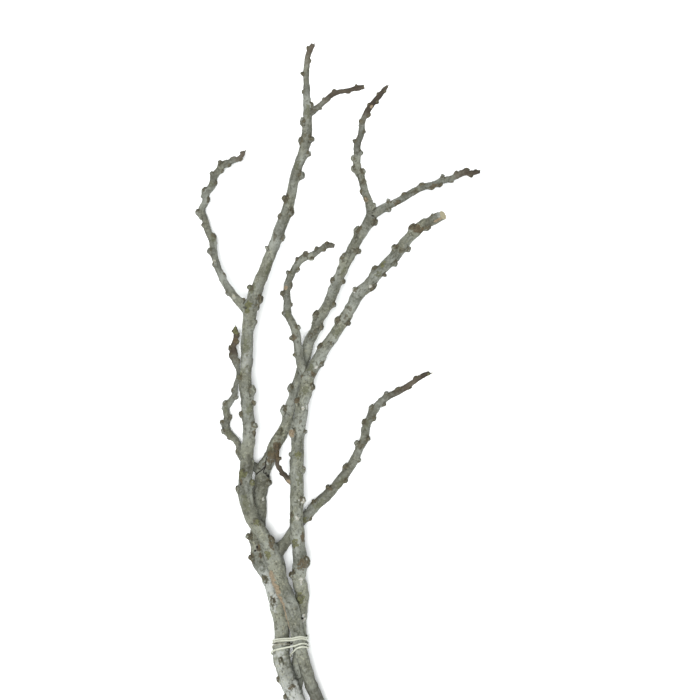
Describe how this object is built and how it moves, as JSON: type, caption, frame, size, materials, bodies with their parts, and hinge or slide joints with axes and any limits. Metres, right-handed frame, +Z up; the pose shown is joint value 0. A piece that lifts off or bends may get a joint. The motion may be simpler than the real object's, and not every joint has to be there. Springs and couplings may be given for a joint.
{
  "type": "tied bunch of bare cut branches",
  "caption": "Bare, knobbly, forked branches with grey bark, cut at the stem and held together near the cut ends by an elastic band.",
  "frame": {"origin": "middle of the bunch's box, on the surface that it lies on", "axes": "+Y from the cut ends towards the tips, +X across the bunch, +Z up from the surface"},
  "size_m": [0.3146, 0.8014, 0.0956],
  "materials": {
    "grey_bark": "matt weathered bark, pale grey with olive knobs and spots of lichen",
    "young_bark": "matt red-brown bark of young twigs",
    "elastic": "matt cream elastic"
  },
  "bodies": {
    "root": {"left_stem": "grey_bark", "left_side_limb": "grey_bark", "left_leader": "grey_bark", "left_leader_twig": "young_bark", "left_twig": "grey_bark", "middle_stem": "grey_bark", "middle_curly_twig": "grey_bark", "middle_leader": "grey_bark", "middle_left_twig": "grey_bark", "middle_right_twig": "grey_bark", "right_stem": "grey_bark", "right_spur_twig": "young_bark", "right_curved_twig": "grey_bark", "right_leader": "grey_bark", "tie_band": "elastic"}
  },
  "joints": []
}
